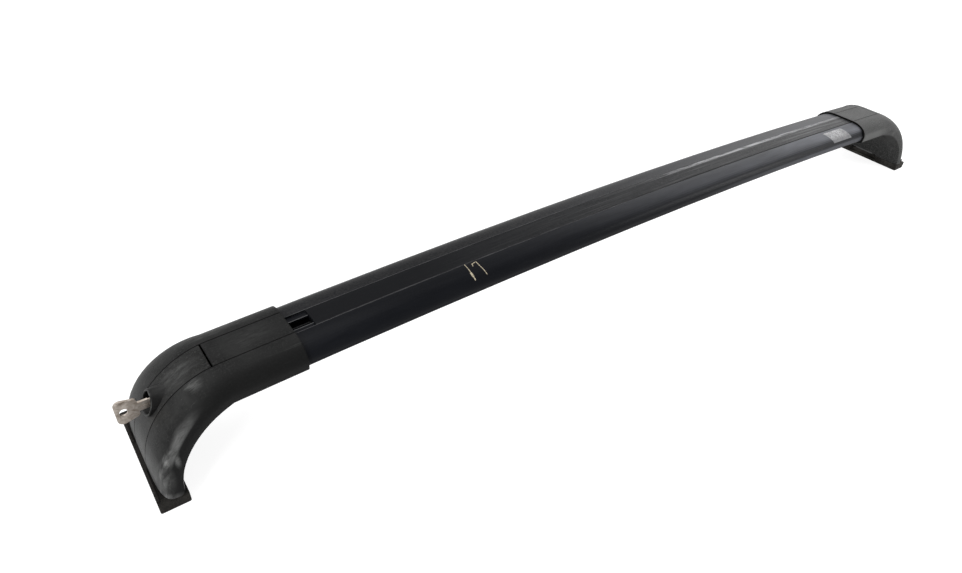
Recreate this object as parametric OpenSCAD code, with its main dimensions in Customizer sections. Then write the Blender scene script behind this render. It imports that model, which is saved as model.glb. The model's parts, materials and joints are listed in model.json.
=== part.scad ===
// Roof rack crossbar: an arched aero bar on two moulded feet. Each foot has a
// bracket, a rubber base pad, a mounting bolt and a hinged cover with a lock.
// X runs along the bar, Y across it and Z up. The origin lies midway between the
// feet, on the surface that the base pads stand on.

/* [Bar] */
// Distance between the outer edges of the two base pads
overall_length = 1150; // [1100:10:1250]
// Height of the bar's top line at mid length, above the pads' underside
crown_height = 98.5; // [97:0.5:104]
// Radius of the arch that the bar is bowed to
arch_radius = 10800; // [9800:500:13800]
// Width of the aero section
bar_width = 73.5; // [72:0.5:80]
// Height of the aero section
bar_height = 22.5; // [22:0.5:23]
// Wall of the extrusion
bar_wall = 2; // [1.6:0.1:2.2]

/* [Accessory slot] */
// Width of the shallow recess that the strip fills
recess_width = 23.4; // [22:0.2:25]
// Depth of that recess
recess_depth = 2; // [1.6:0.1:2.2]
// Opening between the two lips
slot_width = 11; // [9:0.5:12]
// Thickness of each lip
lip_thickness = 2; // [1.6:0.1:2.2]
// Width of the cavity under the lips
cavity_width = 21; // [19:0.5:22]
// Height of the cavity under the lips
cavity_height = 6.5; // [6:0.1:6.8]
// How far the slot lies to the front of the bar's centre line
slot_offset = 2; // [1:0.1:3]
// Open slot left between the left foot and the end of the strip
strip_gap = 20; // [16:1:60]

/* [Foot] */
// Wall of the moulded housing, the top panel and the lock cover
housing_wall = 2.4; // [2.2:0.1:2.8]
// Length of the straight sleeve over the bar's end
sleeve_length = 65; // [60:1:80]
// Reach of the elbow from the sleeve to the leg's outer face
elbow_span = 72; // [70:1:76]
// Depth of the leg along the bar, at its base
leg_depth = 20; // [20:0.5:23]
// Width of the leg at its base
leg_width = 113; // [108:1:118]
// Width of the panel and cover between their two parting lines
panel_width = 30; // [30:0.5:33]
// Width of the parting lines
part_line = 0.4; // [0.3:0.1:0.6]
// Distance from the elbow's start to the joint between panel and cover
split_step = 5; // [4:0.5:7]

/* [Base] */
// Height of the rubber base pad
pad_height = 9; // [8.5:0.5:11]
// Depth of the pad along the bar
pad_depth = 24; // [24:0.5:27]
// Width of the pad
pad_width = 115; // [112:1:122]
// Thickness of the bracket's base plate
plate_thickness = 4; // [3.5:0.5:5]

/* [Lock] */
// Height of the lock's axis above the pads' underside
lock_height = 63.5; // [62.5:0.5:65]
// Outer diameter of the boss around the lock
boss_diameter = 21.5; // [21:0.5:22.5]
// Diameter of the boss's open mouth
mouth_diameter = 17.5; // [17:0.1:18]
// Backward lean of the boss's mouth in degrees
mouth_lean = 22; // [18:1:26]
// Diameter of the lock barrel
barrel_diameter = 15; // [14.4:0.2:15.4]
// Diameter of the turning plug
plug_diameter = 9; // [8.8:0.2:10]
// Width of the key's blade
blade_width = 7.6; // [7:0.1:7.8]
// Thickness of the key
key_thickness = 2; // [1.8:0.1:2.2]

/* [Fasteners] */
// Shank diameter of the mounting bolt
bolt_diameter = 6; // [5:0.5:6]
// Head diameter of the mounting bolt
bolt_head_diameter = 10; // [9:0.5:10]
// Travel of the mounting bolt
bolt_travel = 10; // [8:1:11]
// Diameter of the hinge pin
pin_diameter = 3; // [2.5:0.1:3.2]

/* [Hidden] */

// Facets of a full circle, and of the arch's much larger circle
round_fn = 64;
arch_fn = 2880;
// Overrun of every cut, and the clearances of fits
overrun = 1;
bar_clearance = 0.4;
seat_clearance = 0.3;
running_clearance = 0.05;
thread_clearance = 0.02;

// Outline of the bar's and the foot's section: exponents, angles and shares
crown_power = 2;
belly_power = 5;
base_power = 3.2;
corner_power = 1.9;
flare_power = 0.43;
sleeve_nose_share = 0.39;
base_nose_share = 0.33;
crown_angles = [0, 12, 24, 36, 48, 58, 68, 78, 90];
belly_angles = [18, 34, 48, 62, 90];
sleeve_shares = [0, 0.25, 0.5, 0.75];
station_step = 6;

// Places along the right foot, and heights in it
half_length = overall_length / 2;
toe_margin = 3.5;
leg_outer_x = half_length - toe_margin;
leg_inner_x = leg_outer_x - leg_depth;
elbow_x = leg_outer_x - elbow_span;
mouth_x = elbow_x - sleeve_length;
split_x = elbow_x + split_step;
panel_half = panel_width / 2;
window_half = panel_half + part_line;
skin = housing_wall + bar_clearance;
section_height = bar_height + 2 * skin;

function top_z(x) = crown_height - arch_radius + sqrt(arch_radius * arch_radius - x * x);
function top_slope(x) = x / sqrt(arch_radius * arch_radius - x * x);

elbow_slope = top_slope(elbow_x);
elbow_rise = top_z(elbow_x) + skin - pad_height;
arch_rise = elbow_rise - section_height;
arch_span = leg_inner_x - elbow_x;
sleeve_half = bar_width / 2 + skin;
leg_half = leg_width / 2;

// The elbow's two curves in the XZ plane: quarter ellipses that start along the arch
function elbow_point(angle, span, rise) = [
    elbow_x + span * cos(angle),
    pad_height + rise * sin(angle) - elbow_slope * span * cos(angle) * sin(angle)
];
function elbow_normal(angle, span, rise) =
    let (n = [rise * cos(angle) - elbow_slope * span * cos(2 * angle), span * sin(angle)])
    n / norm(n);
function outer_at(angle, depth) =
    elbow_point(angle, elbow_span, elbow_rise) - depth * elbow_normal(angle, elbow_span, elbow_rise);
function inner_at(angle, height) =
    elbow_point(angle, arch_span, arch_rise) + height * elbow_normal(angle, arch_span, arch_rise);
function sleeve_at(x, depth) = [x, top_z(x) + skin - depth];
function angle_at(x) = acos((x - elbow_x) / elbow_span);

// Hinge axis of the lock cover, under and behind the joint with the top panel
split_z = outer_at(angle_at(split_x), 0)[1];
hinge_inset = 6.5;
hinge_depth = 6.5;
hinge_x = split_x - hinge_inset;
hinge_z = split_z - hinge_depth;
hinge_room = 8.5;
bar_end_x = hinge_x - hinge_room;

// One station of the foot: outer point, inner point, half width, crown exponent and nose share
function sleeve_station(x) = [
    sleeve_at(x, 0), sleeve_at(x, section_height), sleeve_half, crown_power, sleeve_nose_share
];
function elbow_station(angle) = [
    outer_at(angle, 0), inner_at(angle, 0),
    sleeve_half + (leg_half - sleeve_half) * pow(1 - sin(angle), flare_power),
    crown_power + (base_power - crown_power) * pow(1 - sin(angle), corner_power),
    sleeve_nose_share + (base_nose_share - sleeve_nose_share) * (1 - sin(angle))
];
stations = concat(
    [for (s = sleeve_shares) sleeve_station(mouth_x + s * sleeve_length)],
    [for (a = [90:-station_step:0]) elbow_station(a)]
);

// Points across a station at a given depth under its surface, as [y, [x, z]]
function nose_of(st) = st[1] + st[4] * (st[0] - st[1]);
function inward(st) = (st[1] - st[0]) / norm(st[1] - st[0]);
function crown_point(st, depth, angle) = [
    window_half + (st[2] - depth - window_half) * pow(sin(angle), 2 / st[3]),
    nose_of(st) + (st[0] + depth * inward(st) - nose_of(st)) * pow(cos(angle), 2 / st[3])
];
function belly_point(st, depth, angle) = [
    (st[2] - depth) * pow(cos(angle), 2 / belly_power),
    nose_of(st) + (st[1] - depth * inward(st) - nose_of(st)) * pow(sin(angle), 2 / belly_power)
];
function half_path(st, depth) = concat(
    [for (a = crown_angles) crown_point(st, depth, a)],
    [for (a = belly_angles) belly_point(st, depth, a)]
);
function mirrored(path) = [for (i = [len(path) - 2:-1:0]) [-path[i][0], path[i][1]]];
function full_path(st, depth) = let (h = half_path(st, depth)) concat(h, mirrored(h));
function to_space(path) = [for (p = path) [p[1][0], p[0], p[1][1]]];
function reversed(list) = [for (i = [len(list) - 1:-1:0]) list[i]];

// A closed solid through rings of equal count. Each end is closed across the ring
module loft(rings) {
    count = len(rings[0]);
    last = len(rings) - 1;
    half = ceil(count / 2);
    sides = [for (j = [0:last - 1], i = [0:count - 1])
        let (a = j * count + i, b = j * count + (i + 1) % count)
        each [[a, b, b + count], [a, b + count, a + count]]];
    near = [for (i = [0:half - 2])
        let (a = i, b = i + 1, c = count - 2 - i, d = count - 1 - i)
        each (c == b ? [[b, a, d]] : [[b, a, d], [c, b, d]])];
    far = [for (t = near) [for (k = reversed(t)) k + last * count]];
    polyhedron(points = [for (r = rings) each r], faces = concat(sides, near, far), convexity = 12);
}

// The foot's wall, open between its two parting lines
module foot_wall() {
    loft([for (st = stations)
        concat(to_space(full_path(st, 0)), reversed(to_space(full_path(st, housing_wall))))]);
}

// The foot's whole form at a depth under its surface
module foot_form(depth) {
    loft([for (st = stations) to_space(full_path(st, depth))]);
}

// A shape drawn in Y and Z, Z counted from the bar's top line, swept along the arch
module along_arch(from_x, to_x) {
    from_angle = asin(from_x / arch_radius);
    to_angle = asin(to_x / arch_radius);
    translate([0, 0, crown_height - arch_radius])
    rotate([90, 0, 0])
    rotate([0, 0, 90 - to_angle])
    rotate_extrude(angle = to_angle - from_angle, $fn = arch_fn)
    translate([arch_radius, 0])
    rotate(-90)
    children();
}

// A shape drawn in X and Z, extruded across the bar from one Y to another
module across(from_y, to_y) {
    translate([0, to_y, 0])
    rotate([90, 0, 0])
    linear_extrude(to_y - from_y)
    children();
}

// A rod along X, Y or Z from a point
module rod_x(from, length, diameter) {
    translate(from) rotate([0, 90, 0]) cylinder(h = length, d = diameter, $fn = round_fn);
}
module rod_y(from, length, diameter) {
    translate(from) rotate([-90, 0, 0]) cylinder(h = length, d = diameter, $fn = round_fn);
}
module rod_z(from, length, diameter) {
    translate(from) cylinder(h = length, d = diameter, $fn = round_fn);
}

// A box from its lowest to its highest corner
module block(low, high) {
    translate(low) cube(high - low);
}

// A shape as drawn, and mirrored across the bar's centre plane
module both_sides() {
    children();
    mirror([0, 1, 0]) children();
}

// Outline of the bar at a depth under its surface, Z counted from its top line
bar_nose_z = skin - (1 - sleeve_nose_share) * section_height;
function bar_crown(depth, angle) = [
    window_half + (bar_width / 2 - depth - window_half) * pow(sin(angle), 2 / crown_power),
    bar_nose_z + (-bar_nose_z - depth) * pow(cos(angle), 2 / crown_power)
];
function bar_belly(depth, angle) = [
    (bar_width / 2 - depth) * pow(cos(angle), 2 / belly_power),
    bar_nose_z - (bar_height + bar_nose_z - depth) * pow(sin(angle), 2 / belly_power)
];
bar_crown_angles = [for (i = [0:12]) 90 * i / 12];
bar_belly_angles = [12, 22, 30, 38, 46, 54, 62, 72, 90];
function bar_outline(depth) =
    let (half = concat([for (a = bar_crown_angles) bar_crown(depth, a)],
                       [for (a = bar_belly_angles) bar_belly(depth, a)]))
    concat(half, [for (i = [len(half) - 2:-1:0]) [-half[i][0], half[i][1]]]);

// Depths of the slot, of its cavity and of the chamber below, under the bar's top line
lip_low = recess_depth + lip_thickness;
cavity_low = lip_low + cavity_height;
chamber_top = cavity_low + bar_wall;
chamber_low = bar_height - bar_wall;

module bar_profile() {
    web_half = cavity_width / 2 + bar_wall;
    difference() {
        polygon(bar_outline(0));
        // Recess, slot, cavity and the closed chamber under them
        translate([-slot_offset - recess_width / 2, -recess_depth])
            square([recess_width, recess_depth + overrun]);
        translate([-slot_offset - slot_width / 2, -lip_low - overrun / 2])
            square([slot_width, lip_thickness + overrun]);
        translate([-slot_offset - cavity_width / 2, -cavity_low])
            square([cavity_width, cavity_height]);
        translate([-slot_offset - cavity_width / 2, -chamber_low])
            square([cavity_width, chamber_low - chamber_top]);
        // Front and rear chambers
        intersection() {
            polygon(bar_outline(bar_wall));
            translate([-bar_width, -bar_height])
                square([bar_width - slot_offset - web_half, bar_height]);
        }
        intersection() {
            polygon(bar_outline(bar_wall));
            translate([web_half - slot_offset, -bar_height])
                square([bar_width, bar_height]);
        }
    }
}

// Screws that hold the bar on the bracket's tongue: places and sizes
bar_screw_shares = [0.28, 0.72];
screw_head_diameter = 9.2;
screw_diameter = 5;
screw_length = 6.5;
screw_sink = 0.3;
screw_socket_depth = 1.4;
screw_socket_diameter = 3;
screw_cone = bar_wall;
tongue_start = 7;
tongue_x = mouth_x + tongue_start;
function bar_screw_x(share) = tongue_x + share * (bar_end_x - tongue_x);

module bar_screw_body(slack) {
    for (share = bar_screw_shares) {
        x = bar_screw_x(share);
        z = top_z(x) - bar_height + screw_sink;
        translate([x, -slot_offset, z])
            cylinder(h = screw_cone, d1 = screw_head_diameter + 2 * slack,
                     d2 = screw_diameter + 2 * slack, $fn = round_fn);
        rod_z([x, -slot_offset, z], screw_length, screw_diameter + 2 * slack);
    }
}

module bar_screw_holes() {
    bar_screw_body(seat_clearance / 3);
    for (share = bar_screw_shares) {
        x = bar_screw_x(share);
        rod_z([x, -slot_offset, top_z(x) - bar_height - overrun],
              overrun + screw_sink + thread_clearance,
              screw_head_diameter + 2 * seat_clearance / 3);
    }
}

module bar_extrusion() {
    color([0.11, 0.115, 0.13])
    difference() {
        along_arch(-bar_end_x, bar_end_x) bar_profile();
        bar_screw_holes();
        mirror([1, 0, 0]) bar_screw_holes();
    }
}

// Rubber strip: a flush cap, a neck between the lips and two barbs under them
strip_proud = 0.2;
barb_height = 1.6;
barb_reach = 1.2;
strip_bore_width = 5;
strip_bore_height = 2.2;
strip_overlap = 30;

module slot_strip() {
    cap_half = recess_width / 2 - seat_clearance;
    neck_half = slot_width / 2 - seat_clearance;
    cap_low = -recess_depth + seat_clearance / 3;
    barb_top = -lip_low - seat_clearance / 3;
    color([0.13, 0.13, 0.13])
    along_arch(strip_gap - mouth_x, mouth_x + strip_overlap)
    translate([-slot_offset, 0])
    difference() {
        polygon([
            [-cap_half, cap_low], [-neck_half, cap_low], [-neck_half, barb_top],
            [-neck_half - barb_reach, barb_top], [-neck_half, barb_top - barb_height],
            [neck_half, barb_top - barb_height], [neck_half + barb_reach, barb_top],
            [neck_half, barb_top], [neck_half, cap_low], [cap_half, cap_low],
            [cap_half, 0], [cap_half - strip_proud, strip_proud],
            [strip_proud - cap_half, strip_proud], [-cap_half, 0]
        ]);
        translate([-strip_bore_width / 2, barb_top - barb_height + bar_wall / 2])
            square([strip_bore_width, strip_bore_height]);
    }
}

// Ledges inside the housing that the closed cover rests on, and the sill between them
ledge_gap = seat_clearance;
ledge_thickness = 2;
ledge_reach = 2.9;
ledge_bite = 1.2;
ledge_grip = 2;
ledge_start_angle = 78;
sill_height = 5;
ledge_top = housing_wall + ledge_gap;
ledge_low = ledge_top + ledge_thickness;

function elbow_band(from_angle, to_angle, top, low, steps) = concat(
    [for (i = [0:steps]) outer_at(from_angle + (to_angle - from_angle) * i / steps, top)],
    [for (i = [steps:-1:0]) outer_at(from_angle + (to_angle - from_angle) * i / steps, low)]
);
ledge_steps = 13;

module cover_ledges() {
    both_sides() {
        across(window_half - ledge_reach, window_half + ledge_bite)
            polygon(elbow_band(ledge_start_angle, 0, ledge_top, ledge_low, ledge_steps));
        across(window_half + ledge_bite / 2, window_half + ledge_grip)
            polygon(elbow_band(ledge_start_angle, 0, housing_wall / 2, ledge_low, ledge_steps));
    }
    block([leg_outer_x - ledge_low, -window_half, pad_height],
          [leg_outer_x - ledge_top, window_half, pad_height + sill_height]);
}

// Lugs that carry the hinge pin, one each side of the cover
lug_half = 3.3;
lug_start = 0.5;
lug_thickness = 3.6;
pin_half = window_half + lug_start + lug_thickness - seat_clearance;

module hinge_lugs() {
    both_sides()
        block([hinge_x - lug_half, window_half + lug_start, hinge_z - lug_half],
              [hinge_x + lug_half, window_half + lug_start + lug_thickness,
               split_z - housing_wall / 2]);
}

// Posts in the housing for the screws that come up through the bracket's base plate
post_share = 0.76;
post_y = post_share * leg_half;
post_diameter = 9;
post_depth_share = 0.55;
post_x = leg_outer_x - post_depth_share * leg_depth;
post_height = 46;
post_screw_diameter = 4;
post_screw_head = 7.6;
post_screw_head_height = 2.6;
post_screw_length = 14;
plate_top = pad_height + plate_thickness;

module screw_posts() {
    intersection() {
        union()
            for (y = [-post_y, post_y])
                rod_z([post_x, y, plate_top], post_height, post_diameter);
        foot_form(housing_wall / 2);
    }
}

// Notch at the middle of the leg's inner edge, over a matching one in the pad
notch_half = 21;
notch_rise = 3;
notch_drop = 5;

module housing() {
    color([0.2, 0.2, 0.195])
    difference() {
        union() {
            foot_wall();
            cover_ledges();
            hinge_lugs();
            screw_posts();
        }
        rod_y([hinge_x, -pin_half - overrun, hinge_z], 2 * pin_half + 2 * overrun,
              pin_diameter + 2 * thread_clearance);
        for (y = [-post_y, post_y])
            rod_z([post_x, y, plate_top - overrun], post_screw_length + overrun,
                  post_screw_diameter + 2 * thread_clearance);
        block([leg_inner_x - overrun, -notch_half, pad_height - overrun],
              [leg_inner_x + housing_wall + seat_clearance, notch_half, pad_height + notch_rise]);
    }
}

// Panel over the bar's end, fixed between the parting lines
panel_steps = 8;
split_gap = 1.2;
cover_slant = 1.6;

module top_panel() {
    split_angle = angle_at(split_x - seat_clearance);
    sleeve_xs = [for (i = [0:panel_steps - 1]) mouth_x + sleeve_length * i / panel_steps];
    color([0.2, 0.2, 0.195])
    across(-panel_half, panel_half)
    polygon(concat(
        [for (x = sleeve_xs) sleeve_at(x, 0)],
        [outer_at(90, 0), outer_at(split_angle, 0)],
        [outer_at(split_angle, housing_wall), outer_at(90, housing_wall)],
        [for (i = [panel_steps - 1:-1:0]) sleeve_at(sleeve_xs[i], housing_wall)]
    ));
}

// Lock: the mouth stands a little proud of the elbow, and the other parts follow from it
mouth_depth = 5.5;
mouth_proud = 3.56;
lock_angle = asin((lock_height - pad_height) / elbow_rise);
mouth_centre_x = elbow_x + elbow_span * cos(lock_angle) + mouth_proud;
barrel_face_x = mouth_centre_x - mouth_depth;
flange_thickness = 1.5;
socket_length = 8;
socket_x = barrel_face_x - socket_length;
clip_thickness = 2;
clip_diameter = 18;
clip_slot = 6;
barrel_tail = 5.5;
barrel_end_x = socket_x - barrel_tail;
cam_thickness = 2;
cam_width = 7;
cam_reach = 11.5;
cam_x = barrel_end_x - seat_clearance - cam_thickness;
cam_screw_head = 6;
cam_screw_height = 2;
cam_screw_diameter = 3;
cam_screw_bite = 2.5;
cam_slot_width = 1;
cam_slot_depth = 1;

module boss_body() {
    big = 2 * boss_diameter;
    difference() {
        rod_x([socket_x, 0, lock_height], mouth_centre_x - socket_x + boss_diameter / 2,
              boss_diameter);
        translate([mouth_centre_x, -big / 2, lock_height])
        rotate([0, -mouth_lean, 0])
        translate([0, 0, -big / 2])
            cube(big);
    }
}

// Upper half of the boss, carried on inward over the barrel's clip
clip_room = 4.5;

module clip_shroud() {
    intersection() {
        rod_x([socket_x - clip_room, 0, lock_height], clip_room + overrun, boss_diameter);
        block([socket_x - clip_room, -boss_diameter, lock_height],
              [socket_x + overrun, boss_diameter, lock_height + boss_diameter]);
    }
}

// Arms of the cover: from the hinge boss under the panel's edge and up to the cover
arm_y = 8;
arm_thickness = 3;
arm_boss = 6.4;
arm_root_x = 2.5;
arm_root_z = -1.9;
arm_dip_x = 8.5;
arm_dip_z = -5.6;
arm_front_x = 10.6;
arm_foot_x = 16;
arm_low_x = 12.5;
arm_low_z = -8.6;
arm_heel_x = 6.5;
arm_heel_z = -9.2;
arm_back_x = -1.2;
arm_back_z = -2.9;

module cover_arms() {
    foot_depth = housing_wall / 2;
    front_top = outer_at(angle_at(hinge_x + arm_front_x), foot_depth);
    foot_top = outer_at(angle_at(hinge_x + arm_foot_x), foot_depth);
    hinge = [hinge_x, hinge_z];
    both_sides() {
        rod_y([hinge_x, arm_y, hinge_z], arm_thickness, arm_boss);
        across(arm_y, arm_y + arm_thickness)
            polygon([
                hinge + [arm_root_x, arm_root_z], hinge + [arm_dip_x, arm_dip_z],
                [hinge_x + arm_front_x, hinge_z + arm_dip_z + pin_diameter / 2],
                front_top, foot_top,
                hinge + [arm_low_x, arm_low_z], hinge + [arm_heel_x, arm_heel_z],
                hinge + [arm_back_x, arm_back_z], hinge
            ]);
    }
}

cover_steps = 20;
cover_lift = 0.5;

module lock_cover() {
    top_angle = angle_at(split_x + split_gap - seat_clearance);
    slant_angle = angle_at(split_x + split_gap + cover_slant);
    low_angle = asin(cover_lift / elbow_rise);
    color([0.22, 0.22, 0.215])
    difference() {
        union() {
            across(-panel_half, panel_half)
                polygon(concat(
                    [for (i = [0:cover_steps])
                        outer_at(top_angle + (low_angle - top_angle) * i / cover_steps, 0)],
                    [for (i = [cover_steps:-1:0])
                        outer_at(slant_angle + (low_angle - slant_angle) * i / cover_steps,
                                 housing_wall)]
                ));
            boss_body();
            clip_shroud();
            cover_arms();
        }
        rod_x([barrel_end_x - overrun, 0, lock_height], socket_x - barrel_end_x + overrun,
              clip_diameter + 2 * seat_clearance);
        rod_x([barrel_face_x, 0, lock_height], elbow_span, mouth_diameter);
        rod_x([socket_x - overrun, 0, lock_height], socket_length + 2 * overrun,
              barrel_diameter + 2 * running_clearance);
        rod_y([hinge_x, -arm_y - arm_thickness - overrun, hinge_z],
              2 * (arm_y + arm_thickness + overrun), pin_diameter + 2 * running_clearance);
    }
}

module hinge_pin() {
    color([0.6, 0.6, 0.6])
    rod_y([hinge_x, -pin_half, hinge_z], 2 * pin_half, pin_diameter);
}

// Bracket: a tongue in the bar's chamber, an arm along the inner wall, a base plate
arm_clearance = bar_clearance;
web_thickness = 4.4;
web_half = 14;
rib_inner = 11.6;
rib_height = 4;
rib_top_angle = 46;
web_top_angle = 82;
web_steps = 12;
plate_half = 51;
plate_mid_half = 40;
plate_step = 2;
plate_inset = 4.6;
guide_diameter = 12.2;
guide_x = leg_inner_x + housing_wall + seat_clearance + guide_diameter / 2;
guide_height = 18;
pocket_front = 1.2;
pocket_back = 3;
pocket_half = 4.4;

function arch_band(from_angle, to_angle, low, top, steps) = concat(
    [for (i = [0:steps]) inner_at(from_angle + (to_angle - from_angle) * i / steps, top)],
    [for (i = [steps:-1:0]) inner_at(from_angle + (to_angle - from_angle) * i / steps, low)]
);

module bracket() {
    low = housing_wall + arm_clearance;
    tongue_half = cavity_width / 2 - seat_clearance;
    plate_low_x = leg_inner_x + plate_inset;
    plate_high_x = leg_outer_x - ledge_low - seat_clearance;
    color([0.45, 0.46, 0.47])
    difference() {
        union() {
            // Tongue, and its step down to the arm behind the bar's end
            across(-slot_offset - tongue_half, tongue_half - slot_offset)
                polygon([
                    [tongue_x, top_z(tongue_x) - chamber_low + seat_clearance],
                    [bar_end_x + seat_clearance, top_z(bar_end_x) - chamber_low + seat_clearance],
                    inner_at(web_top_angle, low),
                    inner_at(web_top_angle, low + web_thickness),
                    [bar_end_x + seat_clearance, top_z(bar_end_x) - chamber_top - seat_clearance],
                    [tongue_x, top_z(tongue_x) - chamber_top - seat_clearance]
                ]);
            across(-web_half, web_half)
                polygon(arch_band(web_top_angle, 0, low, low + web_thickness, web_steps));
            both_sides()
                across(rib_inner, web_half)
                    polygon(arch_band(rib_top_angle, 0, low, low + web_thickness + rib_height,
                                      web_steps));
            // Base plate, its wings and the guide for the mounting bolt
            block([plate_low_x, -plate_mid_half, pad_height],
                  [plate_high_x, plate_mid_half, plate_top]);
            block([plate_low_x, -plate_half, pad_height],
                  [plate_high_x - plate_step, plate_half, plate_top]);
            rod_z([guide_x, 0, pad_height], guide_height, guide_diameter);
        }
        bar_screw_body(thread_clearance);
        for (y = [-post_y, post_y])
            rod_z([post_x, y, pad_height - overrun], plate_thickness + 2 * overrun,
                  post_screw_diameter + 2 * seat_clearance);
        rod_z([guide_x, 0, pad_height - overrun], plate_thickness + 2 * overrun,
              bolt_diameter + 2 * seat_clearance);
        rod_z([guide_x, 0, plate_top], guide_height,
              bolt_head_diameter + 2 * running_clearance);
        // Pocket that the cam swings through from the rear. Its outer wall is the catch
        block([cam_x - pocket_back, -pocket_half, lock_height - 2 * cam_reach],
              [cam_x + cam_thickness + pocket_front, web_half + overrun,
               lock_height + cam_width / 2 + seat_clearance]);
        // Room for the inner end of the lock
        rod_x([barrel_end_x - seat_clearance, 0, lock_height], elbow_span,
              clip_diameter + 2 * seat_clearance);
        rod_x([cam_x - cam_screw_height - seat_clearance, 0, lock_height], elbow_span,
              plug_diameter + 2 * seat_clearance);
    }
}

// Screws that hold the housing on the bracket's plate, and the bar on its tongue
module post_screws() {
    color([0.6, 0.6, 0.6])
    for (y = [-post_y, post_y]) {
        rod_z([post_x, y, pad_height - post_screw_head_height], post_screw_head_height,
              post_screw_head);
        rod_z([post_x, y, pad_height - overrun], post_screw_length, post_screw_diameter);
    }
}

module bar_screws() {
    color([0.6, 0.6, 0.6])
    difference() {
        bar_screw_body(0);
        for (share = bar_screw_shares)
            rod_z([bar_screw_x(share), -slot_offset,
                   top_z(bar_screw_x(share)) - bar_height - overrun],
                  overrun + screw_sink + screw_socket_depth, screw_socket_diameter);
    }
}

// Mounting bolt, held up in its guide by a nylon collar
bolt_head_height = 6;
bolt_hex = 5;
bolt_hex_depth = 3;
bolt_length = 21;
collar_height = 1.2;
bolt_head_z = plate_top + bolt_travel + seat_clearance + collar_height;

module mount_bolt() {
    color([0.62, 0.62, 0.6])
    difference() {
        union() {
            rod_z([guide_x, 0, bolt_head_z], bolt_head_height, bolt_head_diameter);
            rod_z([guide_x, 0, bolt_head_z - bolt_length], bolt_length + overrun, bolt_diameter);
        }
        translate([guide_x, 0, bolt_head_z + bolt_head_height - bolt_hex_depth])
            cylinder(h = bolt_hex_depth + overrun, d = bolt_hex / cos(30), $fn = 6);
    }
}

module bolt_collar() {
    color([0.85, 0.85, 0.8])
    difference() {
        rod_z([guide_x, 0, bolt_head_z - collar_height], collar_height - running_clearance,
              bolt_head_diameter);
        rod_z([guide_x, 0, bolt_head_z - collar_height - overrun], collar_height + 2 * overrun,
              bolt_diameter + 2 * running_clearance);
    }
}

// Rubber base pad, with a lip outside the leg that stops at the cover
pad_corner = 1.5;
pad_corner_steps = 4;
lip_width = 2.2;
pad_lip_height = 2.5;
lip_gap_half = window_half + 1.2;
lip_end_share = 0.92;
groove_width = 2;
groove_depth = 1;
groove_inset = 6;
groove_shares = [0.3, 0.7];

function corner(cx, cy, from_angle) = [for (i = [0:pad_corner_steps])
    let (a = from_angle + 90 * i / pad_corner_steps)
    [cx + pad_corner * cos(a), cy + pad_corner * sin(a)]];

module base_pad() {
    low_x = half_length - pad_depth;
    high_x = half_length;
    half = pad_width / 2;
    color([0.1, 0.095, 0.09])
    difference() {
        union() {
            linear_extrude(pad_height)
                polygon(concat(
                    corner(high_x - pad_corner, half - pad_corner, 0),
                    corner(low_x + pad_corner, half - pad_corner, 90),
                    corner(low_x + pad_corner, pad_corner - half, 180),
                    corner(high_x - pad_corner, pad_corner - half, 270)
                ));
            both_sides()
                block([high_x - lip_width, lip_gap_half, pad_height - overrun],
                      [high_x, lip_end_share * half, pad_height + pad_lip_height]);
        }
        rod_z([guide_x, 0, -overrun], pad_height + 2 * overrun, bolt_diameter + 2 * seat_clearance);
        for (y = [-post_y, post_y])
            rod_z([post_x, y, pad_height - post_screw_head_height - seat_clearance],
                  pad_height, post_screw_head + 2 * seat_clearance);
        for (share = groove_shares)
            block([low_x + share * pad_depth - groove_width / 2, groove_inset - half, -overrun],
                  [low_x + share * pad_depth + groove_width / 2, half - groove_inset, groove_depth]);
        block([low_x - overrun, -notch_half, pad_height - notch_drop],
              [leg_inner_x + housing_wall + seat_clearance, notch_half, pad_height + overrun]);
    }
}

// Lock parts
module lock_barrel() {
    color([0.5, 0.5, 0.5])
    difference() {
        union() {
            rod_x([barrel_face_x + running_clearance, 0, lock_height], flange_thickness,
                  mouth_diameter - 2 * seat_clearance);
            rod_x([barrel_end_x, 0, lock_height],
                  barrel_face_x - barrel_end_x + flange_thickness, barrel_diameter);
        }
        rod_x([barrel_end_x - overrun, 0, lock_height],
              elbow_span, plug_diameter + 2 * running_clearance);
    }
}

module lock_clip() {
    color([0.6, 0.6, 0.6])
    difference() {
        rod_x([socket_x - clip_thickness - running_clearance, 0, lock_height], clip_thickness,
              clip_diameter);
        rod_x([socket_x - clip_thickness - overrun, 0, lock_height], clip_thickness + 2 * overrun,
              barrel_diameter + 2 * running_clearance);
        block([socket_x - clip_thickness - overrun, -clip_slot / 2, lock_height],
              [socket_x + overrun, clip_slot / 2, lock_height + clip_diameter]);
    }
}

plug_face_x = barrel_face_x + flange_thickness - seat_clearance;
keyway_slack = 0.1;
keyway_depth = 12;

module lock_plug() {
    color([0.55, 0.55, 0.53])
    difference() {
        rod_x([barrel_end_x - seat_clearance, 0, lock_height],
              plug_face_x - barrel_end_x + seat_clearance, plug_diameter);
        block([plug_face_x - keyway_depth, -key_thickness / 2 - keyway_slack,
               lock_height - blade_width / 2 - keyway_slack],
              [plug_face_x + overrun, key_thickness / 2 + keyway_slack,
               lock_height + blade_width / 2 + keyway_slack]);
        rod_x([cam_x, 0, lock_height], cam_thickness + cam_screw_bite + keyway_slack,
              cam_screw_diameter + 2 * thread_clearance);
    }
}

module lock_cam() {
    color([0.65, 0.65, 0.62])
    difference() {
        union() {
            rod_x([cam_x, 0, lock_height], cam_thickness, plug_diameter);
            block([cam_x, 0, lock_height - cam_width / 2],
                  [cam_x + cam_thickness, cam_reach, lock_height + cam_width / 2]);
        }
        rod_x([cam_x - overrun, 0, lock_height], cam_thickness + 2 * overrun,
              cam_screw_diameter + 2 * running_clearance);
    }
}

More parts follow.
